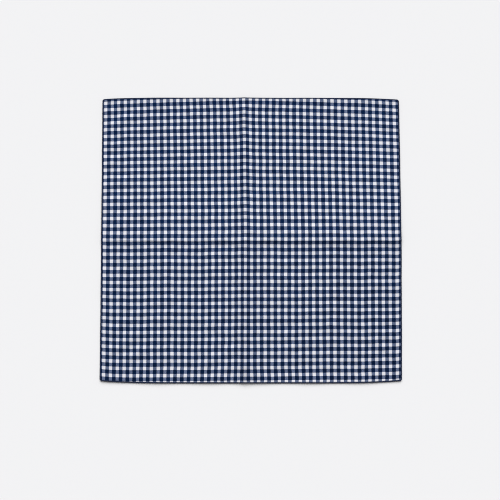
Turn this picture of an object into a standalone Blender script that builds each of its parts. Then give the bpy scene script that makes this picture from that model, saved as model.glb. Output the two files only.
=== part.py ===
"""A square cotton gingham scarf, opened out of its folds and laid flat.

It is one square of woven cloth with a narrow rolled hem all round. The underside lies flat
in four quarters, and the two creases of its folding stand up between them as ridges that
cross near the middle. Metres, +Z up. The origin is on the surface that the cloth lies on,
under the middle of its outline.
"""

from math import ceil, hypot, radians, sqrt

import bpy

MM = 0.001

# Outline: the corners as the cloth lies, before they are rounded
TOP_LEFT = (-279.7 * MM, 264.6 * MM)
TOP_RIGHT = (277.6 * MM, 263.9 * MM)
BOTTOM_LEFT = (-278.4 * MM, -261.9 * MM)
BOTTOM_RIGHT = (276.6 * MM, -261.8 * MM)
CORNER_RADIUS = 4.0 * MM

# How far each side bows out past the line between its corners, or in if negative. A power of
# 2 is an even curve, and a higher one is a straighter side that falls off close to its corners.
TOP_BOW, TOP_POWER = 3.4 * MM, 7
BOTTOM_BOW, BOTTOM_POWER = 4.6 * MM, 6
LEFT_BOW, LEFT_POWER = -0.2 * MM, 2
RIGHT_BOW, RIGHT_POWER = 1.6 * MM, 2.5

# The flat square that the grid is ruled on before it is drawn out to the outline
HALF_WIDTH = 280 * MM
HALF_DEPTH = 268 * MM

CLOTH_THICKNESS = 1.2 * MM
HEM_THICKNESS = 2.0 * MM
HEM_SECTION = (
    # in from the edge, lift of the underside, thickness
    (0.0 * MM, 0.45 * MM, 0.9 * MM),
    (0.6 * MM, 0.12 * MM, 1.6 * MM),
    (1.5 * MM, 0.0 * MM, HEM_THICKNESS),
    (2.4 * MM, 0.0 * MM, 1.6 * MM),
    (3.2 * MM, 0.0 * MM, CLOTH_THICKNESS),
)

# Creases: a row for each section along the crest, from one side of the cloth to the other
UPRIGHT_CREASE = (
    # y, x of the crest, height
    (-266 * MM, -10.6 * MM, 1.9 * MM),
    (-232 * MM, -10.7 * MM, 8.0 * MM),
    (-140 * MM, -10.9 * MM, 9.0 * MM),
    (0 * MM, -10.9 * MM, 8.6 * MM),
    (140 * MM, -12.1 * MM, 9.2 * MM),
    (236 * MM, -13.0 * MM, 7.9 * MM),
    (268 * MM, -13.2 * MM, 2.8 * MM),
)
LEVEL_CREASE = (
    # x, y of the crest, height
    (-280 * MM, -1.6 * MM, 2.3 * MM),
    (-235 * MM, -2.2 * MM, 3.8 * MM),
    (-183 * MM, -1.8 * MM, 4.3 * MM),
    (-157 * MM, -2.8 * MM, 5.4 * MM),
    (-104 * MM, -2.0 * MM, 3.0 * MM),
    (-78 * MM, -1.6 * MM, 4.4 * MM),
    (-26 * MM, -2.4 * MM, 4.3 * MM),
    (26 * MM, -2.2 * MM, 5.2 * MM),
    (104 * MM, -2.1 * MM, 4.0 * MM),
    (156 * MM, -2.2 * MM, 4.8 * MM),
    (190 * MM, -2.0 * MM, 4.1 * MM),
    (234 * MM, -2.0 * MM, 5.3 * MM),
    (280 * MM, -2.3 * MM, 4.5 * MM),
)
# From a crest to where the cloth is flat again, on its lower side and on its higher side
UPRIGHT_FLANKS = (48 * MM, 48 * MM)
LEVEL_FLANKS = (14 * MM, 140 * MM)
# How much more steeply a flank falls beside its crest than further out
UPRIGHT_POWERS = (3.3, 3.3)
LEVEL_POWERS = (2.5, 2.0)
CROSSING_LOSS = 0.2  # how much lower the level crease is on the crest of the upright one
CREST_RADIUS = 1.2 * MM

# Ruling of the grid
FLANK_RULES = (0.05, 0.125, 0.23, 0.36, 0.54, 0.75, 1.0)  # shares of a flank, from its crest
FIELD_STEP = 26 * MM  # widest spacing where the cloth is flat

COTTON_COLOUR = (0.225, 0.243, 0.308, 1)  # navy and white checks, seen from far off
COTTON_ROUGHNESS = 0.85
SHARP_ANGLE = radians(50)  # only the thin rim of the hem is steeper than this


def between(low, high, share):
    return low + (high - low) * share


def along(table, place):
    """The values of a table's row at this place, between the rows that stand beside it."""
    for lower, upper in zip(table, table[1:]):
        if place <= upper[0]:
            break
    share = min(max((place - lower[0]) / (upper[0] - lower[0]), 0), 1)
    eased = share * share * (3 - 2 * share)
    return [between(a, b, eased) for a, b in zip(lower[1:], upper[1:])]


def even_rules(start, end):
    """Evenly spaced places between two others, no further apart than the field's step."""
    steps = ceil((end - start) / FIELD_STEP)
    return [between(start, end, n / steps) for n in range(1, steps)]


def rules(half, crest, flanks):
    """Where the grid is ruled across the flat square: at the hems, the field and the crest."""
    hem = [inset for inset, _, _ in HEM_SECTION]
    low_hem = [-half + inset for inset in hem]
    high_hem = [half - inset for inset in reversed(hem)]
    low_flank = [crest - share * flanks[0] for share in reversed(FLANK_RULES)]
    high_flank = [crest + share * flanks[1] for share in FLANK_RULES]
    low_field = even_rules(low_hem[-1], low_flank[0])
    high_field = even_rules(high_flank[-1], high_hem[0])
    return low_hem + low_field + low_flank + [crest] + high_flank + high_field + high_hem


def rounded_corner(a, b):
    """Draws a point near a corner of the flat square inside the corner's quarter circle."""
    past_a = abs(a) - (HALF_WIDTH - CORNER_RADIUS)
    past_b = abs(b) - (HALF_DEPTH - CORNER_RADIUS)
    if past_a <= 0 or past_b <= 0:
        return a, b
    drawn_a = past_a * sqrt(1 - (past_b / CORNER_RADIUS) ** 2 / 2) - past_a
    drawn_b = past_b * sqrt(1 - (past_a / CORNER_RADIUS) ** 2 / 2) - past_b
    return a + (drawn_a if a > 0 else -drawn_a), b + (drawn_b if b > 0 else -drawn_b)


def bow(size, power, share):
    return size * (1 - abs(2 * share - 1) ** power)


def crest_shift(table, place, ruled_crest, a, half):
    """How far a rule moves so that the rule on the crest follows the crest."""
    crest = along(table, place)[0]
    side = half - ruled_crest if a > ruled_crest else half + ruled_crest
    return (crest - ruled_crest) * (1 - abs(a - ruled_crest) / side)


def plan(a, b):
    """Where a point of the flat square lies, seen from above."""
    s = (a + HALF_WIDTH) / (2 * HALF_WIDTH)
    t = (b + HALF_DEPTH) / (2 * HALF_DEPTH)
    left = between(BOTTOM_LEFT[0], TOP_LEFT[0], t) - bow(LEFT_BOW, LEFT_POWER, t)
    right = between(BOTTOM_RIGHT[0], TOP_RIGHT[0], t) + bow(RIGHT_BOW, RIGHT_POWER, t)
    bottom = between(BOTTOM_LEFT[1], BOTTOM_RIGHT[1], s) - bow(BOTTOM_BOW, BOTTOM_POWER, s)
    top = between(TOP_LEFT[1], TOP_RIGHT[1], s) + bow(TOP_BOW, TOP_POWER, s)
    return between(left, right, s), between(bottom, top, t)


def ridge(distance, height, flanks, powers):
    """Height of a crease at this distance past its crest."""
    side = 0 if distance < 0 else 1
    reach = hypot(distance, CREST_RADIUS) - CREST_RADIUS
    return height * max(1 - reach / flanks[side], 0) ** powers[side]


def crease_height(x, y):
    """Height of the cloth over the surface: the level crease runs on across the upright one."""
    upright_x, upright_height = along(UPRIGHT_CREASE, y)
    level_y, level_height = along(LEVEL_CREASE, x)
    upright = ridge(x - upright_x, upright_height, UPRIGHT_FLANKS, UPRIGHT_POWERS)
    level = ridge(y - level_y, level_height, LEVEL_FLANKS, LEVEL_POWERS)
    return upright + level * (1 - CROSSING_LOSS * upright / upright_height)


def hem_section(a, b):
    """Lift of the underside and thickness, from the distance to the nearest edge."""
    inset = min(HALF_WIDTH - abs(a), HALF_DEPTH - abs(b))
    for (inner, lift, thickness), (outer, next_lift, next_thickness) in zip(
        HEM_SECTION, HEM_SECTION[1:]
    ):
        if inset <= outer:
            share = max(inset - inner, 0) / (outer - inner)
            return between(lift, next_lift, share), between(thickness, next_thickness, share)
    return 0.0, CLOTH_THICKNESS


def centre_on_origin(mesh):
    xs = [vertex.co.x for vertex in mesh.vertices]
    ys = [vertex.co.y for vertex in mesh.vertices]
    for vertex in mesh.vertices:
        vertex.co.x -= (min(xs) + max(xs)) / 2
        vertex.co.y -= (min(ys) + max(ys)) / 2


def cotton():
    material = bpy.data.materials.new("gingham_cotton")
    material.use_nodes = True
    shader = material.node_tree.nodes["Principled BSDF"]
    shader.inputs["Base Color"].default_value = COTTON_COLOUR
    shader.inputs["Roughness"].default_value = COTTON_ROUGHNESS
    shader.inputs["Metallic"].default_value = 0
    material.diffuse_color = COTTON_COLOUR
    return material


def scarf():
    """The underside as a grid on its folds, thickened upward to the cloth and its hem."""
    upright_crest = along(UPRIGHT_CREASE, 0)[0]
    level_crest = along(LEVEL_CREASE, 0)[0]
    across = rules(HALF_WIDTH, upright_crest, UPRIGHT_FLANKS)
    down = rules(HALF_DEPTH, level_crest, LEVEL_FLANKS)
    bpy.ops.mesh.primitive_grid_add(
        x_subdivisions=len(across) - 1, y_subdivisions=len(down) - 1, size=1
    )
    cloth = bpy.context.object
    cloth.name = cloth.data.name = "scarf_cloth"
    depth = cloth.vertex_groups.new(name="thickness")
    for vertex in cloth.data.vertices:
        column = round((vertex.co.x + 0.5) * (len(across) - 1))
        row = round((vertex.co.y + 0.5) * (len(down) - 1))
        a, b = across[column], down[row]
        lift, thickness = hem_section(a, b)
        a, b = rounded_corner(a, b)
        x, y = plan(a, b)
        x += crest_shift(UPRIGHT_CREASE, y, upright_crest, a, HALF_WIDTH)
        y += crest_shift(LEVEL_CREASE, x, level_crest, b, HALF_DEPTH)
        vertex.co = (x, y, lift + crease_height(x, y))
        depth.add([vertex.index], thickness / HEM_THICKNESS, "REPLACE")
    centre_on_origin(cloth.data)

    thicken = cloth.modifiers.new("thickness", "SOLIDIFY")
    thicken.thickness = HEM_THICKNESS
    thicken.offset = 1
    thicken.use_even_offset = True
    thicken.vertex_group = depth.name
    cloth.data.materials.append(cotton())
    cloth.data.shade_smooth()
    cloth.data.set_sharp_from_angle(angle=SHARP_ANGLE)
    return cloth


def main():
    for leftover in list(bpy.data.objects):
        bpy.data.objects.remove(leftover)
    collection = bpy.data.collections.new("square_scarf")
    bpy.context.scene.collection.children.link(collection)
    cloth = scarf()
    for owner in list(cloth.users_collection):
        owner.objects.unlink(cloth)
    collection.objects.link(cloth)


main()
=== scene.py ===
"""The looks of a square gingham scarf: woven cotton with a narrow rolled hem, laid flat.

The cloth is one thin sheet. It lies flat in four quarters, its two fold creases stand up
between them as soft ridges, and its edge is rolled under all round. Navy overlock thread is
wound round the roll, and a line of small stitches runs just inside it. Metres, +Z up, in the
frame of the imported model.
"""

from math import cos, pi, radians, sin, sqrt, tau

import bpy
import numpy as np
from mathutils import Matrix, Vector


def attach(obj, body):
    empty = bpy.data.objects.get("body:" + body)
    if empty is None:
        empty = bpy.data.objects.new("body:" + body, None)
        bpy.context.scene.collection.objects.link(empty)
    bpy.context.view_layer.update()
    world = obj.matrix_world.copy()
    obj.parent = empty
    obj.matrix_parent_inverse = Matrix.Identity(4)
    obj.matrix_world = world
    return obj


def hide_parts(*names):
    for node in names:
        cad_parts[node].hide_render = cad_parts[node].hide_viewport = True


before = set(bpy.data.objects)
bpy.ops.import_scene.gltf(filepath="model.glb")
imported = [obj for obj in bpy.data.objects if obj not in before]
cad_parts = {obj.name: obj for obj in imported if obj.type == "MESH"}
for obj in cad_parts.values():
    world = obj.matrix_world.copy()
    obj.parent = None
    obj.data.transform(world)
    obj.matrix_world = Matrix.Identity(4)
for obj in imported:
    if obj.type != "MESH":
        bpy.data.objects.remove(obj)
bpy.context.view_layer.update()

MM = 0.001

# Outline: the corners as the cloth lies, before they are rounded
TOP_LEFT = (-279.7 * MM, 264.6 * MM)
TOP_RIGHT = (277.6 * MM, 263.9 * MM)
BOTTOM_LEFT = (-278.4 * MM, -261.9 * MM)
BOTTOM_RIGHT = (276.6 * MM, -261.8 * MM)
CORNER_RADIUS = 4.0 * MM

# How far each side bows out past the line between its corners, and how square that bow is
TOP_BOW, TOP_POWER = 3.4 * MM, 7
BOTTOM_BOW, BOTTOM_POWER = 4.6 * MM, 6
LEFT_BOW, LEFT_POWER = -0.2 * MM, 2
RIGHT_BOW, RIGHT_POWER = 1.6 * MM, 2.5

# The level crease pushes the hem out a little at the right: how far, where, over what reach
RIGHT_PUSH, RIGHT_PUSH_Y, RIGHT_PUSH_REACH = 0.6 * MM, -34 * MM, 30 * MM
PUSH_POWER = 14  # how quickly the push fades inward from the hem
PUSH_FLATNESS = 4  # how even it is along the hem before it ends

# The flat square that the cloth is ruled on before it is drawn out to the outline
HALF_WIDTH = 280 * MM
HALF_DEPTH = 268 * MM

# Creases: a row for each section along the crest, from one side of the cloth to the other
UPRIGHT_CREASE = (
    # y, x of the crest, height
    (-266 * MM, -10.6 * MM, 1.9 * MM),
    (-232 * MM, -10.7 * MM, 8.0 * MM),
    (-140 * MM, -10.9 * MM, 9.0 * MM),
    (0 * MM, -10.9 * MM, 8.6 * MM),
    (140 * MM, -12.1 * MM, 9.2 * MM),
    (236 * MM, -13.0 * MM, 7.9 * MM),
    (268 * MM, -13.2 * MM, 2.8 * MM),
)
LEVEL_CREASE = (
    # x, y of the crest, height
    (-280 * MM, -1.6 * MM, 2.3 * MM),
    (-235 * MM, -2.2 * MM, 3.8 * MM),
    (-183 * MM, -1.8 * MM, 4.3 * MM),
    (-157 * MM, -2.8 * MM, 5.4 * MM),
    (-104 * MM, -2.0 * MM, 3.0 * MM),
    (-78 * MM, -1.6 * MM, 4.4 * MM),
    (-26 * MM, -2.4 * MM, 4.3 * MM),
    (26 * MM, -2.2 * MM, 5.2 * MM),
    (104 * MM, -2.1 * MM, 4.0 * MM),
    (156 * MM, -2.2 * MM, 4.8 * MM),
    (190 * MM, -2.0 * MM, 4.1 * MM),
    (234 * MM, -2.0 * MM, 5.3 * MM),
    (280 * MM, -2.3 * MM, 4.5 * MM),
)
# From a crest to where the cloth is flat again, on its lower side and on its higher side
UPRIGHT_FLANKS = (48 * MM, 48 * MM)
LEVEL_FLANKS = (14 * MM, 140 * MM)
# How much more steeply a flank falls beside its crest than further out
UPRIGHT_POWERS = (3.3, 3.3)
LEVEL_POWERS = (2.5, 2.0)
CROSSING_LOSS = 0.2  # how much lower the level crease is on the crest of the upright one
CREST_RADIUS = 1.2 * MM

# The crests waver a little from side to side, and are dented. Such a wave is uneven: it is two
# waves in one, the first of the length given, the other of a share of it and with its own start.
CREST_WAVER = 0.7 * MM
WAVER_LENGTH, WAVER_SHARE, WAVER_START = 83 * MM, 0.57, 2
CREST_DENTS = 0.07  # how much of its height a crest loses in places
DENT_LENGTH, DENT_SHARE, DENT_START = 47 * MM, 0.61, 1

# Soft ripples that the folding left, placed one by one
RIPPLES = (
    # middle x, y, reach along the crests, reach across them, way of the crests, spacing, height
    (-236 * MM, -192 * MM, 48 * MM, 60 * MM, radians(34), 31 * MM, 1.00 * MM),
    (-244 * MM, 222 * MM, 45 * MM, 35 * MM, radians(33), 34 * MM, 0.85 * MM),
    (-244 * MM, 110 * MM, 42 * MM, 70 * MM, radians(8), 38 * MM, 0.90 * MM),
    (-66 * MM, -220 * MM, 50 * MM, 34 * MM, radians(33), 30 * MM, 0.65 * MM),
    (-136 * MM, -89 * MM, 70 * MM, 60 * MM, radians(-48), 22 * MM, 0.34 * MM),
    (-160 * MM, -140 * MM, 60 * MM, 50 * MM, radians(28), 27 * MM, 0.42 * MM),
    (-95 * MM, 157 * MM, 60 * MM, 75 * MM, radians(-38), 23 * MM, 0.42 * MM),
    (-150 * MM, 60 * MM, 70 * MM, 60 * MM, radians(12), 25 * MM, 0.42 * MM),
    (50 * MM, 125 * MM, 36 * MM, 48 * MM, radians(-40), 20 * MM, 0.40 * MM),
    (124 * MM, 138 * MM, 38 * MM, 46 * MM, radians(36), 21 * MM, 0.46 * MM),
    (205 * MM, 72 * MM, 60 * MM, 70 * MM, radians(3), 22 * MM, 0.38 * MM),
    (90 * MM, 84 * MM, 80 * MM, 26 * MM, radians(-2), 30 * MM, 0.48 * MM),
    (150 * MM, 215 * MM, 80 * MM, 40 * MM, radians(9), 24 * MM, 0.34 * MM),
    (110 * MM, -75 * MM, 110 * MM, 46 * MM, radians(-3), 29 * MM, 0.48 * MM),
    (142 * MM, -130 * MM, 62 * MM, 46 * MM, radians(6), 27 * MM, 0.66 * MM),
    (222 * MM, -190 * MM, 52 * MM, 55 * MM, radians(-24), 23 * MM, 0.52 * MM),
    (70 * MM, -200 * MM, 70 * MM, 50 * MM, radians(18), 26 * MM, 0.38 * MM),
)
RIPPLE_STRAIGHTNESS = 9  # a smaller number bends the ripples more
# Faint unevenness all over: waves that cross each other
CRUMPLES = (
    # way of the crests, spacing, height, start
    (radians(7), 23 * MM, 0.15 * MM, 0.4),
    (radians(-31), 27 * MM, 0.15 * MM, 2.3),
    (radians(26), 20 * MM, 0.12 * MM, 4.1),
    (radians(-9), 33 * MM, 0.18 * MM, 1.2),
    (radians(58), 31 * MM, 0.14 * MM, 5.0),
)
CRUMPLE_BEND = 6 * MM

# Cloth and hem, across the hem from the outline inward
CLOTH_THICKNESS = 0.36 * MM
FLOOR_GAP = 0.02 * MM
WRAP_HALF_WIDTH = 0.56 * MM  # along the hem
WRAP_HALF_HEIGHT = 0.14 * MM
BEAD_HALF_WIDTH = 1.40 * MM  # to the middle of the thread that is wound round the roll
BEAD_HALF_HEIGHT = 0.80 * MM
HEM_INSET = BEAD_HALF_WIDTH + WRAP_HALF_HEIGHT  # from the outline to the middle of the roll
BEAD_LIFT = BEAD_HALF_HEIGHT + WRAP_HALF_HEIGHT  # from the floor to the middle of the roll
ROLL_HALF_WIDTH = BEAD_HALF_WIDTH - WRAP_HALF_HEIGHT - CLOTH_THICKNESS / 2
ROLL_HALF_HEIGHT = BEAD_HALF_HEIGHT - WRAP_HALF_HEIGHT - CLOTH_THICKNESS / 2
ROLL_TURN = radians(280)  # how far the edge is rolled under
ROLL_STEPS = 9
ROLL_TIGHTENING = 0.24  # how much smaller the roll is at its inner end
HEM_RISE = 9 * MM  # the cloth rises to the top of its roll over this width
HEM_RAISE = 2.1 * MM  # the hem rises off the floor by this much at most, in long waves
RAISE_MEAN, RAISE_SWING = 0.6, 0.2  # shares of that height
RAISE_REACH = 26 * MM
RAISE_LENGTH, RAISE_SHARE = 94 * MM, 0.9  # the upright hems' waves are a share as long
RAISE_STARTS = (0.6, 2.1)
PUCKER_REACH = 12 * MM
PUCKER_HEIGHT = 0.16 * MM
PUCKER_LENGTH, PUCKER_SHARE, PUCKER_START = 11.5 * MM, 1.7, 1

# Sewing
WRAP_PITCH = 1.05 * MM
WRAP_STEPS = 10
STITCH_LENGTH = 2.1 * MM
STITCH_STEPS = 6
STITCH_INSET = 1.68 * MM  # from the middle of the roll inward
STITCH_RADIUS = 0.16 * MM
STITCH_SINK = 0.10 * MM  # from the top of the cloth down to the middle of the stitches
STITCH_DIP = 0.17 * MM
SEWING_STEP = 0.3 * MM  # how far to either side the hem's direction is read

# Ruling of the sheet
CREST_STEP = 0.7 * MM
STEP_GROWTH = 1.12
FIELD_STEP = 3.1 * MM
HEM_RULES = (0.0, 0.35 * MM, 0.85 * MM, 1.45 * MM, 2.15 * MM, 2.85 * MM, 4.2 * MM, 6.2 * MM)

# Checks: one white and one navy stripe make a repeat, and a white stripe is centred on each
# whole number, counted from the left and from the top
REPEAT = 12.8 * MM
UPRIGHT_CREST_STRIPE = 21.0
LEFT_EDGE_STRIPES = (
    # share of the way up, stripe
    (0.0, -0.60),
    (0.5, -0.55),
    (1.0, -0.54),
)
RIGHT_EDGE_STRIPES = (
    (0.0, 43.67),
    (0.5, 43.67),
    (1.0, 43.74),
)
BOTTOM_EDGE_STRIPES = (
    # share of the way to the right, stripe
    (0.0, 39.91),
    (0.25, 40.09),
    (0.5, 40.17),
    (0.75, 40.27),
    (0.9, 40.24),
    (1.0, 40.13),
)
LEVEL_LINE = -2.5 * MM  # a straight line along the level crease
LEVEL_LINE_STRIPES = (
    (0.0, 19.93),
    (0.25, 20.03),
    (0.5, 20.10),
    (0.75, 20.14),
    (0.9, 20.12),
    (1.0, 20.09),
)
TOP_EDGE_STRIPES = (
    (0.0, -0.66),
    (0.5, -0.23),
    (1.0, -0.64),
)
UPRIGHT_CROWDING = 0.7  # the upright stripes lie closer beside the crease
CROWDING_LEAN = 3
# The level stripes above the crease bend up, most of all near it: at the left, at the right
LEVEL_BULGES = (0.90, 0.48)
BULGE_LEAN = 1.3
# The upright stripes bend away from straight in each quarter, by this many sixteenths of a
# repeat at most: at the left, at the right
UPPER_BENDS = (1.55, 0.4)
UPPER_MIDDLE_BENDS = (0.2, 0.7)
LOWER_BENDS = (-0.7, -0.9)

THREADS_PER_REPEAT = 32
WHITE_HALF = 0.23  # half the width of a white stripe, in repeats: it is 15 threads wide
INNER_HALF = 0.20  # the same without its outermost threads
OUTER_PAINTED_SHADE = 0.7  # how much darker the outermost white threads are painted where they cross navy, as painted shade
WARP_PROUD = 0.05  # the upright threads stand a little over the level ones
THREAD_CROWN = 0.36  # how high a thread goes over another, for its width
THREAD_VALLEY = -0.45  # and how deep the gaps between threads are
THREAD_ROUNDNESS = 2.2
SWAY, SWAY_SCALE = 0.07, 0.7  # how far the threads stray, in repeats, and how quickly

# Colours of the threads as they show: each by itself, darkened by painted shade in the gaps between
# threads, and where the thread beneath is the other
WHITE = (0.822, 0.822, 0.870, 1)
# painted shade: white as it shows deep in the gaps between threads
WHITE_GAP_SHADE = (0.51, 0.51, 0.55, 1)
NAVY = (0.0002, 0.0106, 0.047, 1)
# painted shade: navy as it shows deep in the gaps between threads
NAVY_GAP_SHADE = (0.0001, 0.0042, 0.024, 1)
# white over navy shows partly the navy beneath the thin thread and partly painted shade between the
# threads
WHITE_OVER_NAVY = (0.362, 0.409, 0.554, 1)
NAVY_UNDER_WHITE = (0.018, 0.038, 0.105, 1)
NAVY_OVER_WHITE = (0.035, 0.060, 0.135, 1)
# painted shade on the flanks of a white thread over navy, with the navy beneath showing
WHITE_FLANK_SHADE = 2.0  # how quickly white over navy darkens away from its crown

# Painted light and shade on the cloth: above the level crease, just below it, at its bottom edge
UPPER_PAINTED_LIGHT, LOWER_PAINTED_LIGHT, BOTTOM_PAINTED_SHADE = 1.045, 1.01, 0.955
# painted shade: the lower half is darker still towards the right
RIGHT_PAINTED_SHADE = 0.955  # the lower half is darker still towards the right
# painted shade along the upright crease: how dark the cloth is painted near its crest
CREASE_PAINTED_SHADE = 0.94
# Where these tones pass into each other. Stripes down the cloth count below zero.
CREASE_STRIPES = (-20.7, -20.1)
LOWER_STRIPES = (-40.0, -20.5)
RIGHT_STRIPES = (15.0, 40.0)
# how far from the upright crest, in repeats, the painted crease shade is full and where it ends
CREASE_SHADE_REACH = (0.2, 0.9)
# Small differences of tone: from thread to thread, along a thread, over a few repeats, and broad
THREAD_TONES = (-0.07, 0.07)
SLUB_TONES, SLUB_SCALE = (0.95, 1.05), 9.0
MOTTLE_TONES, MOTTLE_SCALE = (0.92, 1.08), 0.9
WASH_TONES, WASH_SCALE = (0.988, 1.012), 0.13
NOISE_RANGE = (0.3, 0.7)  # most of a noise texture lies between these
WEFT_SEED = 0.37  # so that level threads don't repeat the tones of the upright ones
WHITE_STEADINESS = 0.6  # white varies less than the mixed checks, and navy more
NAVY_UNSTEADINESS = 3.0

COTTON_ROUGHNESS = (0.95, 0.82)  # in the gaps, on the threads
COTTON_RELIEF = 0.35
COTTON_SHEEN = {
    "Specular IOR Level": 0.06,
    "Sheen Weight": 0.05,
    "Sheen Tint": (0.30, 0.55, 1.0, 1.0),
    "Sheen Roughness": 0.5,
}
RELIEF_DEPTH = 0.1 * MM

# Sewing thread: its fine ply, dark to light, and paler stretches of it
PLY_COLOURS = ((0.002, 0.007, 0.030, 1), (0.006, 0.017, 0.060, 1))
PLY_SCALE = 2400.0
PLY_RANGE = (0.35, 0.65)
PALE_COLOUR, PALE_SHARE, PALE_SCALE = (0.010, 0.026, 0.080, 1), 0.25, 60.0
SEWING_ROUGHNESS = (0.75, 0.55)
SEWING_RELIEF = 0.3
SEWING_SHEEN = {"Specular IOR Level": 0.2, "Sheen Weight": 0.05}

FLOOR_PAINT = {
    "Base Color": (0.82, 0.82, 0.832, 1),
    "Roughness": 0.9,
    "Specular IOR Level": 0.1,
}
FLOOR_SIZE = 40

SUN_ELEVATION = radians(47)
SUN_AZIMUTH = radians(0)  # from straight behind the top edge
SUN_STRENGTH = 3.52
SUN_ANGLE = radians(56)
SKY_STRENGTH = 0.27

# Camera: the point that it looks at, how far it is tipped from straight down, and how much
# the photograph's frame spans there
AIM = Vector((-2.06 * MM, -20.77 * MM, 0))
CAMERA_TILT = radians(5.8)
FRAME_SPAN = 929 * MM
LENS = 85
SENSOR = 36


def between(low, high, share):
    return low + (high - low) * share


def smooth(share):
    share = np.clip(share, 0, 1)
    return share * share * (3 - 2 * share)


def along(table, place):
    """The values of a table's columns at these places, eased between its rows."""
    rows = np.array(table)
    step = np.interp(place, rows[:, 0], np.arange(len(rows)))
    row = np.clip(np.floor(step).astype(int), 0, len(rows) - 2)
    share = smooth(step - row)
    return [between(rows[row, c], rows[row + 1, c], share) for c in range(1, rows.shape[1])]


def side_rules(length):
    """Distances from a crest to the middle of the hem's roll: close at both, wider between."""
    steps = [0.0]
    step = CREST_STEP
    field = length - HEM_RULES[-1]
    while steps[-1] < field:
        steps.append(steps[-1] + step)
        step = min(step * STEP_GROWTH, FIELD_STEP)
    steps = [step * field / steps[-1] for step in steps]
    return steps + [length - rule for rule in reversed(HEM_RULES[:-1])]


def rules(half, crest):
    edge = half - HEM_INSET
    low = [crest - step for step in reversed(side_rules(crest + edge))]
    high = [crest + step for step in side_rules(edge - crest)]
    return np.array(low + high[1:])


def rounded_corner(a, b):
    """Draws points near a corner of the flat square inside the corner's quarter circle."""
    radius = CORNER_RADIUS - HEM_INSET
    past_a = np.clip(abs(a) - (HALF_WIDTH - CORNER_RADIUS), 0, None)
    past_b = np.clip(abs(b) - (HALF_DEPTH - CORNER_RADIUS), 0, None)
    drawn_a = past_a * (np.sqrt(1 - (past_b / radius) ** 2 / 2) - 1)
    drawn_b = past_b * (np.sqrt(1 - (past_a / radius) ** 2 / 2) - 1)
    return a + np.sign(a) * drawn_a, b + np.sign(b) * drawn_b


def bow(size, power, share):
    return size * (1 - abs(2 * share - 1) ** power)


def right_push(b):
    """How far the right hem is pushed out at this distance up the flat square."""
    return RIGHT_PUSH * np.exp(-(((b - RIGHT_PUSH_Y) / RIGHT_PUSH_REACH) ** PUSH_FLATNESS))


def plan(a, b):
    """Where points of the flat square lie, seen from above."""
    s = (a + HALF_WIDTH) / (2 * HALF_WIDTH)
    t = (b + HALF_DEPTH) / (2 * HALF_DEPTH)
    left = between(BOTTOM_LEFT[0], TOP_LEFT[0], t) - bow(LEFT_BOW, LEFT_POWER, t)
    right = between(BOTTOM_RIGHT[0], TOP_RIGHT[0], t) + bow(RIGHT_BOW, RIGHT_POWER, t)
    bottom = between(BOTTOM_LEFT[1], BOTTOM_RIGHT[1], s) - bow(BOTTOM_BOW, BOTTOM_POWER, s)
    top = between(TOP_LEFT[1], TOP_RIGHT[1], s) + bow(TOP_BOW, TOP_POWER, s)
    x = between(left, right, s) + right_push(b) * s**PUSH_POWER
    return x, between(bottom, top, t)


def uneven_wave(place, length, share, start):
    """Two waves in one, between -2 and 2."""
    return np.sin(tau * place / length) + np.sin(tau * place / (share * length) + start)


def crest_line(table, place):
    """Where a crest runs and how high it is, with its small unevenness."""
    crest, height = along(table, place)
    waver = uneven_wave(place, WAVER_LENGTH, WAVER_SHARE, WAVER_START)
    dents = uneven_wave(place, DENT_LENGTH, DENT_SHARE, DENT_START)
    return crest + CREST_WAVER * waver / 2, height * (1 - CREST_DENTS * (2 + dents) / 4)


def crest_shift(table, place, ruled_crest, a, half):
    """How far rules move so that the rule on the crest follows the crest."""
    crest = crest_line(table, place)[0]
    side = np.where(a > ruled_crest, half - ruled_crest, half + ruled_crest)
    return (crest - ruled_crest) * (1 - abs(a - ruled_crest) / side)


def ridge(distance, height, flanks, powers):
    """Height of a crease at these distances past its crest."""
    flank = np.where(distance < 0, flanks[0], flanks[1])
    power = np.where(distance < 0, powers[0], powers[1])
    reach = np.hypot(distance, CREST_RADIUS) - CREST_RADIUS
    return height * np.clip(1 - reach / flank, 0, None) ** power


def crease_height(x, y):
    """Height of the cloth over the floor: the level crease runs on across the upright one."""
    upright_x, upright_height = crest_line(UPRIGHT_CREASE, y)
    level_y, level_height = crest_line(LEVEL_CREASE, x)
    upright = ridge(x - upright_x, upright_height, UPRIGHT_FLANKS, UPRIGHT_POWERS)
    level = ridge(y - level_y, level_height, LEVEL_FLANKS, LEVEL_POWERS)
    return upright + level * (1 - CROSSING_LOSS * upright / upright_height)


def ripple_height(x, y):
    """The soft ripples, all above the floor."""
    height = 0 * x
    for middle_x, middle_y, reach_along, reach_across, way, spacing, size in RIPPLES:
        forward = (x - middle_x) * cos(way) + (y - middle_y) * sin(way)
        across = (y - middle_y) * cos(way) - (x - middle_x) * sin(way)
        bend = across + forward**2 / (RIPPLE_STRAIGHTNESS * reach_along)
        patch = np.exp(-((forward / reach_along) ** 2) - (across / reach_across) ** 2)
        height = height + size * patch * (1 + np.cos(tau * bend / spacing))
    for way, spacing, size, start in CRUMPLES:
        forward = x * cos(way) + y * sin(way)
        bend = y * cos(way) - x * sin(way) + CRUMPLE_BEND * np.sin(forward / spacing + start)
        height = height + size * (1 + np.cos(tau * bend / spacing + start))
    return height


def edge_raise(x, y, inset):
    """Long waves in which the hem stands off the floor."""
    level = np.sin(tau * x / RAISE_LENGTH + RAISE_STARTS[0])
    upright = np.sin(tau * y / (RAISE_SHARE * RAISE_LENGTH) + RAISE_STARTS[1])
    share = RAISE_MEAN + RAISE_SWING * (level + upright)
    return HEM_RAISE * share * (1 - smooth(inset / RAISE_REACH))


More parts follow.
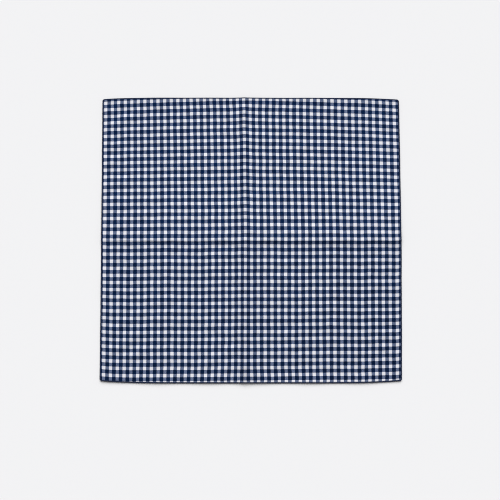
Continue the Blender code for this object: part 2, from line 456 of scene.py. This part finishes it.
def hem_lift(inset, around):
    """Rise of the cloth to the top of its roll, with the hem's small puckers."""
    top = BEAD_LIFT + ROLL_HALF_HEIGHT - CLOTH_THICKNESS / 2 - FLOOR_GAP
    rise = top * (1 - smooth((inset - HEM_INSET) / HEM_RISE))
    wave = uneven_wave(around, PUCKER_LENGTH, PUCKER_SHARE, PUCKER_START)
    away = (inset - HEM_INSET) / PUCKER_REACH
    fade = smooth(4 * away) * (1 - smooth(away))
    return rise + PUCKER_HEIGHT * fade * (1 + wave / 2)


def cloth_lengths(x, y, z, axis, crest):
    """Distances along the cloth from its crest: as shares of the way to each edge, and in metres,
    below zero on the lower side of the crest."""
    step_x, step_y, step_z = (np.diff(values, axis=axis) for values in (x, y, z))
    step = np.sqrt(step_x**2 + step_y**2 + step_z**2)
    length = np.insert(np.cumsum(step, axis=axis), 0, 0, axis=axis)
    length = length - np.take(length, [crest], axis=axis)
    low = -np.take(length, [0], axis=axis) + HEM_INSET
    high = np.take(length, [-1], axis=axis) + HEM_INSET
    return np.where(length < 0, -length / low, length / high), length


def upright_stripes(x, y, z, share_b, crest_column):
    """Which upright stripe lies at each point, counted in repeats from the left."""
    share, signed = cloth_lengths(x, y, z, 1, crest_column)
    crowding = UPRIGHT_CROWDING * share * (1 - share) ** CROWDING_LEAN
    upper, lower = smooth(2 * share_b - 1), smooth(1 - 2 * share_b)
    middle = 4 * upper * (1 - upper)
    ways = zip(UPPER_BENDS, UPPER_MIDDLE_BENDS, LOWER_BENDS)
    bends = [upper * high + middle * half + lower * low for high, half, low in ways]
    bend = np.where(signed < 0, bends[0], bends[1]) * share * (1 - share) / 4
    waver = crest_line(UPRIGHT_CREASE, y)[0] - along(UPRIGHT_CREASE, y)[0]
    crest = UPRIGHT_CREST_STRIPE + waver / REPEAT
    left = between(crest, along(LEFT_EDGE_STRIPES, share_b)[0], share) - crowding
    right = between(crest, along(RIGHT_EDGE_STRIPES, share_b)[0], share) + crowding
    return np.where(signed < 0, left, right) + bend


def level_stripes(x, y, z, share_a, crest_row):
    """Which level stripe lies at each point, counted in repeats from the top."""
    share, signed = cloth_lengths(x, y, z, 0, crest_row)
    above = crest_line(LEVEL_CREASE, x)[0] - LEVEL_LINE
    crest = along(LEVEL_LINE_STRIPES, share_a)[0] - above / REPEAT
    low = between(crest, along(BOTTOM_EDGE_STRIPES, share_a)[0], share)
    high = between(crest, along(TOP_EDGE_STRIPES, share_a)[0], share)
    bulge = between(*LEVEL_BULGES, smooth(share_a))
    high = high + bulge * share * (1 - share) ** BULGE_LEAN
    return np.where(signed < 0, low, high)


def ruled_sheet():
    """The middle of the cloth as far as the top of its rolled edge: places and stripes."""
    crest_a = along(UPRIGHT_CREASE, 0)[0]
    crest_b = along(LEVEL_CREASE, 0)[0]
    across = rules(HALF_WIDTH, crest_a)
    down = rules(HALF_DEPTH, crest_b)
    a, b = np.meshgrid(across, down)
    side_a, side_b = HALF_WIDTH - abs(a), HALF_DEPTH - abs(b)
    inset = np.minimum(side_a, side_b)
    around = np.where(side_a < side_b, b, a)
    share_a = (a + HALF_WIDTH) / (2 * HALF_WIDTH)
    share_b = (b + HALF_DEPTH) / (2 * HALF_DEPTH)
    a, b = rounded_corner(a, b)
    x, y = plan(a, b)
    x = x + crest_shift(UPRIGHT_CREASE, y, crest_a, a, HALF_WIDTH)
    y = y + crest_shift(LEVEL_CREASE, x, crest_b, b, HALF_DEPTH)
    lift = hem_lift(inset, around) + edge_raise(x, y, inset)
    calm = smooth((inset - HEM_INSET) / HEM_RISE)
    z = FLOOR_GAP + CLOTH_THICKNESS / 2 + crease_height(x, y) + lift
    z = z + calm * ripple_height(x, y)
    crest_column = int(np.argmin(abs(across - crest_a)))
    crest_row = int(np.argmin(abs(down - crest_b)))
    u = upright_stripes(x, y, z, share_b, crest_column)
    v = level_stripes(x, y, z, share_a, crest_row)
    x = x - (x.min() + x.max()) / 2
    y = y - (y.min() + y.max()) / 2
    return np.stack([x, y, z], axis=-1), np.stack([u, -v], axis=-1)


def rim(grid):
    """The outermost points of a ruled sheet, anticlockwise from its lower left corner."""
    return np.concatenate([grid[0, :-1], grid[:-1, -1], grid[-1, :0:-1], grid[:0:-1, 0]])


def outward(loop):
    """Level directions out of a closed anticlockwise loop."""
    ahead = np.roll(loop, -1, axis=0) - np.roll(loop, 1, axis=0)
    normal = np.stack([ahead[:, 1], -ahead[:, 0], 0 * ahead[:, 0]], axis=1)
    return normal / np.linalg.norm(normal, axis=1, keepdims=True)


def roll_section():
    """Steps round the rolled edge: out from its middle, up from its middle, length of cloth."""
    rows = []
    length = 0.0
    last = (0.0, ROLL_HALF_HEIGHT)
    for step in range(1, ROLL_STEPS + 1):
        share = step / ROLL_STEPS
        angle = pi / 2 - ROLL_TURN * share
        size = 1 - ROLL_TIGHTENING * share
        point = (ROLL_HALF_WIDTH * size * cos(angle), ROLL_HALF_HEIGHT * size * sin(angle))
        length += sqrt((point[0] - last[0]) ** 2 + (point[1] - last[1]) ** 2)
        rows.append((*point, length))
        last = point
    return rows


def closed_strips(loops):
    """Faces between loops of points that follow one another, all with one point count."""
    count = len(loops[0])
    here = np.arange(count)
    ahead = np.roll(here, -1)
    faces = []
    for first, second in zip(loops, loops[1:]):
        faces.append(np.stack([first[ahead], first[here], second[here], second[ahead]], axis=1))
    return np.concatenate(faces)


def cloth_mesh(places, stripes):
    """The ruled sheet with its rolled edge, as an open mesh that has the stripes as a UV map.

    A second map, OFBake, is the first one fitted to the unit square. Both faces of the cloth
    share it, because they look alike.
    """
    rows, columns = places.shape[:2]
    index = np.arange(rows * columns).reshape(rows, columns)
    corners = [index[:-1, :-1], index[:-1, 1:], index[1:, 1:], index[1:, :-1]]
    faces = [np.stack([corner.ravel() for corner in corners], axis=1)]
    points = [places.reshape(-1, 3)]
    uvs = [stripes.reshape(-1, 2)]

    edge, edge_uv = rim(places), rim(stripes)
    out = outward(edge)
    middle = edge - np.array([0, 0, ROLL_HALF_HEIGHT])
    loops = [rim(index)]
    for away, up, length in roll_section():
        loops.append(rows * columns + np.arange(len(edge)) + len(edge) * (len(loops) - 1))
        points.append(middle + out * away + np.array([0, 0, up]))
        uvs.append(edge_uv + out[:, :2] * length / REPEAT)
    faces.append(closed_strips(loops))

    mesh = bpy.data.meshes.new("scarf_sheet")
    faces = np.concatenate(faces)
    mesh.from_pydata(np.concatenate(points).tolist(), [], faces.tolist())
    uvs = np.concatenate(uvs)
    low, high = uvs.min(axis=0), uvs.max(axis=0)
    for name, values in (("stripes", uvs), ("OFBake", (uvs - low) / (high - low))):
        uv_map = mesh.uv_layers.new(name=name)
        uv_map.data.foreach_set("uv", values[faces.ravel()].ravel())
    mesh.update()
    return mesh


def cloth_sheet(places, stripes):
    mesh = cloth_mesh(places, stripes)
    mesh.shade_smooth()
    cloth = bpy.data.objects.new("scarf_sheet", mesh)
    bpy.context.scene.collection.objects.link(cloth)
    thicken = cloth.modifiers.new("thickness", "SOLIDIFY")
    thicken.thickness = CLOTH_THICKNESS
    thicken.offset = 0
    return cloth


class HemLine:
    """The middle of the rolled edge as a closed line, read at any distance round the cloth."""

    def __init__(self, places):
        edge = rim(places)
        self.points = edge - np.array([0, 0, ROLL_HALF_HEIGHT])
        self.out = outward(edge)
        steps = np.linalg.norm(np.roll(edge, -1, axis=0) - edge, axis=1)
        self.length = steps.sum()
        self.marks = np.concatenate([[0], np.cumsum(steps)[:-1]])

    def read(self, values, distance):
        """What stands at these distances, between the values at the line's points."""
        around = self.length
        columns = [np.interp(distance, self.marks, column, period=around) for column in values.T]
        return np.stack(columns, axis=1)

    def at(self, distance, away, up):
        """Points beside the line: away from it outward, and up from it, square to it."""
        following = self.read(self.points, distance + SEWING_STEP)
        ahead = following - self.read(self.points, distance - SEWING_STEP)
        ahead /= np.linalg.norm(ahead, axis=1, keepdims=True)
        out = self.read(self.out, distance)
        out /= np.linalg.norm(out, axis=1, keepdims=True)
        upward = np.cross(out, ahead)
        upward /= np.linalg.norm(upward, axis=1, keepdims=True)
        return self.read(self.points, distance) + out * away[:, None] + upward * up[:, None]


def thread_object(name, centres, sideways, thickness):
    """A closed loop of thread with four sides, from half its width and height at each centre."""
    sides = [centres + sideways, centres + thickness, centres - sideways, centres - thickness]
    points = np.stack(sides, axis=1).reshape(-1, 3)
    count = len(centres)
    section = 4 * np.arange(count)
    following = np.roll(section, -1)
    faces = []
    for side in range(4):
        turn = (side + 1) % 4
        corners = [section + side, section + turn, following + turn, following + side]
        faces.append(np.stack(corners, axis=1))
    mesh = bpy.data.meshes.new(name)
    mesh.from_pydata(points.tolist(), [], np.concatenate(faces).tolist())
    mesh.shade_smooth()
    thread = bpy.data.objects.new(name, mesh)
    bpy.context.scene.collection.objects.link(thread)
    return thread


def overlock_wraps(hem):
    """Navy thread wound closely round the rolled edge."""
    turns = round(hem.length / WRAP_PITCH)
    steps = np.arange(turns * WRAP_STEPS)
    distance = steps * hem.length / len(steps)
    angle = -tau * steps / WRAP_STEPS

    def wound(distance, grow):
        return hem.at(
            distance,
            (BEAD_HALF_WIDTH + grow) * np.cos(angle),
            (BEAD_HALF_HEIGHT + grow) * np.sin(angle),
        )

    centres = wound(distance, 0)
    sideways = (wound(distance + WRAP_HALF_WIDTH, 0) - wound(distance - WRAP_HALF_WIDTH, 0)) / 2
    thickness = wound(distance, WRAP_HALF_HEIGHT) - centres
    return thread_object("overlock_thread", centres, sideways, thickness)


def needle_stitches(hem):
    """A line of small stitches just inside the rolled edge, which dips into the cloth between."""
    count = round(hem.length / STITCH_LENGTH)
    steps = np.arange(count * STITCH_STEPS)
    distance = steps * hem.length / len(steps)
    wave = np.cos(tau * steps / STITCH_STEPS)
    up = ROLL_HALF_HEIGHT + CLOTH_THICKNESS / 2 - STITCH_SINK + STITCH_DIP * wave
    away = np.full(len(steps), -STITCH_INSET)
    centres = hem.at(distance, away, up)
    above = hem.at(distance, away, up + STITCH_RADIUS)
    beside = hem.at(distance, away + STITCH_RADIUS, up)
    return thread_object("needle_stitches", centres, beside - centres, above - centres)


class Material:
    """A material whose nodes are added and linked one by one."""

    def __init__(self, name, settings):
        self.material = bpy.data.materials.new(name)
        self.material.use_nodes = True
        self.tree = self.material.node_tree
        self.shader = self.tree.nodes["Principled BSDF"]
        for socket, value in settings.items():
            self.shader.inputs[socket].default_value = value

    def put(self, socket, value):
        if isinstance(value, bpy.types.NodeSocket):
            self.tree.links.new(value, socket)
        else:
            socket.default_value = value

    def node(self, kind, inputs=None, output=0, **settings):
        """Adds a node, sets and links its inputs, and gives back one of its outputs."""
        made = self.tree.nodes.new(kind)
        for name, value in settings.items():
            setattr(made, name, value)
        for name, value in (inputs or {}).items():
            self.put(made.inputs[name], value)
        return made.outputs[output]

    def math(self, operation, *values):
        return self.node("ShaderNodeMath", dict(enumerate(values)), operation=operation)

    def move(self, operation, inputs):
        return self.node("ShaderNodeVectorMath", inputs, operation=operation)

    def axes(self, vector):
        """How far a vector goes across and up."""
        across = self.node("ShaderNodeSeparateXYZ", {"Vector": vector}, output=0)
        return across, self.node("ShaderNodeSeparateXYZ", {"Vector": vector}, output=1)

    def noise(self, place, scale, detail=2.0, output=0):
        inputs = {"Vector": place, "Scale": scale, "Detail": detail}
        return self.node("ShaderNodeTexNoise", inputs, output=output)

    def number_noise(self, number):
        return self.node("ShaderNodeTexWhiteNoise", {"W": number}, noise_dimensions="1D")

    def between(self, share, low, high):
        """A number between two others."""
        return self.node("ShaderNodeMix", {0: share, 2: low, 3: high})

    def blend(self, share, low, high, mode="MIX"):
        """A colour between two others."""
        made = self.tree.nodes.new("ShaderNodeMix")
        made.data_type = "RGBA"
        made.blend_type = mode
        self.put(made.inputs[0], share)
        self.put(made.inputs[6], low)
        self.put(made.inputs[7], high)
        return made.outputs[2]

    def ramp(self, value, low, high, to_low=0.0, to_high=1.0):
        names = ("Value", "From Min", "From Max", "To Min", "To Max")
        values = (value, low, high, to_low, to_high)
        return self.node("ShaderNodeMapRange", dict(zip(names, values)))

    def finish(self, colour, roughness, height, strength):
        """Links the colour, the roughness and a fine relief to the shader."""
        relief = {"Height": height, "Strength": strength, "Distance": RELIEF_DEPTH}
        self.put(self.shader.inputs["Base Color"], colour)
        self.put(self.shader.inputs["Roughness"], roughness)
        self.put(self.shader.inputs["Normal"], self.node("ShaderNodeBump", relief))
        return self.material


def swayed(cotton, place):
    """Places on the cloth, moved a little, because no thread runs quite straight."""
    sway = cotton.noise(place, SWAY_SCALE, detail=3.0, output=1)
    sway = cotton.move("SUBTRACT", {0: sway, 1: (0.5, 0.5, 0.5)})
    sway = cotton.move("SCALE", {0: sway, "Scale": SWAY})
    return cotton.move("ADD", {0: place, 1: sway})


def thread_numbers(cotton, place):
    """Of threads side by side: the place in threads, the number of the nearest one, the place
    across it, and how far in repeats it is from the middle of a white stripe."""
    threads = cotton.math("MULTIPLY", place, THREADS_PER_REPEAT)
    number = cotton.math("ROUND", threads)
    across = cotton.math("SUBTRACT", threads, number)
    away = cotton.math("PINGPONG", cotton.math("DIVIDE", number, THREADS_PER_REPEAT), 0.5)
    return threads, number, across, away


def thread_height(cotton, number, across, other_threads, flip):
    """Height of one set of threads, which goes over and under the other."""
    odd = cotton.math("PINGPONG", number, 1)
    way = cotton.math("MULTIPLY_ADD", odd, -2 * flip, flip)
    wave = cotton.math("COSINE", cotton.math("MULTIPLY", other_threads, pi))
    crown = cotton.math("MULTIPLY", wave, way)
    round_side = cotton.math("MULTIPLY", cotton.math("MULTIPLY", across, across), -THREAD_ROUNDNESS)
    return cotton.math("MULTIPLY_ADD", crown, THREAD_CROWN, round_side)


class Weave:
    """Which thread is on top at each point, how high it stands, and what its stripes are."""

    def __init__(self, cotton, place):
        warp_place, weft_place = cotton.axes(place)
        warp, self.warp_number, warp_across, warp_away = thread_numbers(cotton, warp_place)
        weft, self.weft_number, weft_across, weft_away = thread_numbers(cotton, weft_place)
        warp_height = thread_height(cotton, self.warp_number, warp_across, weft, 1)
        weft_height = thread_height(cotton, self.weft_number, weft_across, warp, -1)
        warp_height = cotton.math("ADD", warp_height, WARP_PROUD)
        self.warp_over = cotton.math("GREATER_THAN", warp_height, weft_height)
        self.top = cotton.math("MAXIMUM", warp_height, weft_height)
        self.crown = cotton.ramp(self.top, THREAD_VALLEY, THREAD_CROWN)

        farther = cotton.math("MAXIMUM", warp_away, weft_away)
        self.nearer = cotton.math("MINIMUM", warp_away, weft_away)
        self.top_away = cotton.between(self.warp_over, weft_away, warp_away)
        self.both_white = cotton.math("LESS_THAN", farther, WHITE_HALF)
        self.either_white = cotton.math("LESS_THAN", self.nearer, WHITE_HALF)


def check_colours(cotton, weave):
    """White checks, navy ones, and the mixed ones where white threads cross navy."""
    # painted shade: the outermost threads of a white stripe show mostly navy where they cross navy
    outer = cotton.math("MULTIPLY", weave.either_white, 1 - OUTER_PAINTED_SHADE)
    inner = cotton.math("LESS_THAN", weave.nearer, INNER_HALF)
    shown = cotton.math("MAXIMUM", outer, inner)
    top_white = cotton.math("LESS_THAN", weave.top_away, WHITE_HALF)
    # white over navy darkens away from its crown: painted shade on its flanks, and the navy beneath
    fall = cotton.math("POWER", weave.crown, WHITE_FLANK_SHADE)
    mixed = cotton.blend(fall, NAVY_UNDER_WHITE, WHITE_OVER_NAVY)
    mixed = cotton.blend(top_white, NAVY_OVER_WHITE, mixed)
    # painted shade in the gaps, where the threads' crown is low
    navy = cotton.blend(weave.crown, NAVY_GAP_SHADE, NAVY)
    white = cotton.blend(weave.crown, WHITE_GAP_SHADE, WHITE)
    colour = cotton.blend(shown, navy, mixed)
    return cotton.blend(weave.both_white, colour, white)


def thread_tones(cotton, weave, woven):
    """Threads differ a little from each other, and along their length."""
    warp_tone = cotton.number_noise(weave.warp_number)
    weft_tone = cotton.number_noise(cotton.math("ADD", weave.weft_number, WEFT_SEED))
    tone = cotton.between(weave.warp_over, weft_tone, warp_tone)
    slub = cotton.noise(woven, SLUB_SCALE)
    slub_tone = cotton.ramp(slub, *NOISE_RANGE, *SLUB_TONES)
    return cotton.math("ADD", cotton.ramp(tone, 0, 1, *THREAD_TONES), slub_tone)


def cloth_tones(cotton, place, tone):
    """These tones with the broad ones: blotches, painted light and shade on the two halves, and
    painted shade along the upright crease.
    """
    wash = cotton.noise(place, WASH_SCALE)
    tone = cotton.math("MULTIPLY", tone, cotton.ramp(wash, *NOISE_RANGE, *WASH_TONES))
    mottle = cotton.noise(place, MOTTLE_SCALE)
    tone = cotton.math("MULTIPLY", tone, cotton.ramp(mottle, *NOISE_RANGE, *MOTTLE_TONES))
    beside, folded = cotton.axes(place)
    # painted light above the level crease, painted shade below it, darker towards the bottom and
    # the right
    upper = cotton.ramp(folded, *CREASE_STRIPES)
    lower_painted_light = cotton.ramp(folded, *LOWER_STRIPES, BOTTOM_PAINTED_SHADE, LOWER_PAINTED_LIGHT)
    right_painted_shade = cotton.ramp(beside, *RIGHT_STRIPES, 1.0, RIGHT_PAINTED_SHADE)
    lower_painted_light = cotton.math("MULTIPLY", lower_painted_light, right_painted_shade)
    painted_half_light = cotton.between(upper, lower_painted_light, UPPER_PAINTED_LIGHT)
    tone = cotton.math("MULTIPLY", tone, painted_half_light)
    # painted shade along the upright crease, darkest near its crest
    crease = cotton.math("ABSOLUTE", cotton.math("SUBTRACT", beside, UPRIGHT_CREST_STRIPE))
    return cotton.math("MULTIPLY", tone, cotton.ramp(crease, *CREASE_SHADE_REACH, CREASE_PAINTED_SHADE, 1.0))


def gingham_cotton():
    """Plain weave in navy and white: each thread goes over one and under the next."""
    cotton = Material("gingham_cotton", COTTON_SHEEN)
    place = cotton.node("ShaderNodeUVMap", uv_map="stripes")
    woven = swayed(cotton, place)
    weave = Weave(cotton, woven)
    tone = cloth_tones(cotton, place, thread_tones(cotton, weave, woven))
    steady = cotton.math("POWER", tone, WHITE_STEADINESS)
    unsteady = cotton.math("POWER", tone, NAVY_UNSTEADINESS)
    tone = cotton.between(weave.either_white, unsteady, tone)
    tone = cotton.between(weave.both_white, tone, steady)
    shade = cotton.node("ShaderNodeCombineXYZ", {"X": tone, "Y": tone, "Z": tone})
    colour = cotton.blend(1.0, check_colours(cotton, weave), shade, mode="MULTIPLY")
    roughness = cotton.ramp(weave.crown, 0, 1, *COTTON_ROUGHNESS)
    return cotton.finish(colour, roughness, weave.top, COTTON_RELIEF)


def hem_thread():
    """Navy sewing thread with a fine ply."""
    thread = Material("hem_thread", SEWING_SHEEN)
    place = thread.node("ShaderNodeTexCoord", output=3)
    ply = thread.noise(place, PLY_SCALE, detail=3.0)
    pale = thread.ramp(thread.noise(place, PALE_SCALE), *NOISE_RANGE, 0.0, PALE_SHARE)
    colour = thread.blend(thread.ramp(ply, *PLY_RANGE), *PLY_COLOURS)
    colour = thread.blend(pale, colour, PALE_COLOUR)
    roughness = thread.ramp(ply, *NOISE_RANGE, *SEWING_ROUGHNESS)
    return thread.finish(colour, roughness, ply, SEWING_RELIEF)


def floor():
    bpy.ops.mesh.primitive_plane_add(size=FLOOR_SIZE)
    ground = bpy.context.object
    ground.name = "floor"
    ground.data.materials.append(Material("floor_paint", FLOOR_PAINT).material)


def studio_light():
    """One large soft light from behind the top edge, and an even white surround."""
    light = bpy.data.lights.new("soft_light", "SUN")
    light.energy = SUN_STRENGTH
    light.angle = SUN_ANGLE
    lamp = bpy.data.objects.new("soft_light", light)
    lamp.rotation_euler = (-(pi / 2 - SUN_ELEVATION), 0, SUN_AZIMUTH)
    bpy.context.scene.collection.objects.link(lamp)

    world = bpy.data.worlds.new("surround")
    world.use_nodes = True
    background = world.node_tree.nodes["Background"]
    background.inputs["Color"].default_value = (1, 1, 1, 1)
    background.inputs["Strength"].default_value = SKY_STRENGTH
    bpy.context.scene.world = world


def camera():
    """Nearly straight down, a little tipped, standing over the bottom edge."""
    lens = bpy.data.cameras.new("camera")
    lens.lens = LENS
    lens.sensor_width = SENSOR
    eye = bpy.data.objects.new("camera", lens)
    distance = FRAME_SPAN * LENS / SENSOR
    eye.location = AIM + distance * Vector((0, -sin(CAMERA_TILT), cos(CAMERA_TILT)))
    eye.rotation_euler = (CAMERA_TILT, 0, 0)
    bpy.context.scene.collection.objects.link(eye)
    bpy.context.scene.camera = eye


def scarf():
    places, stripes = ruled_sheet()
    hem = HemLine(places)
    cloth = cloth_sheet(places, stripes)
    wraps = overlock_wraps(hem)
    stitches = needle_stitches(hem)
    cloth.data.materials.append(gingham_cotton())
    navy = hem_thread()
    for thread in (wraps, stitches):
        thread.data.materials.append(navy)
        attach(thread, "root")
    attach(cloth, "root")
    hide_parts("scarf_cloth")


camera()
floor()
studio_light()
bpy.context.scene.view_settings.view_transform = "Standard"
bpy.context.scene.cycles.filter_width = 1.0
scarf()
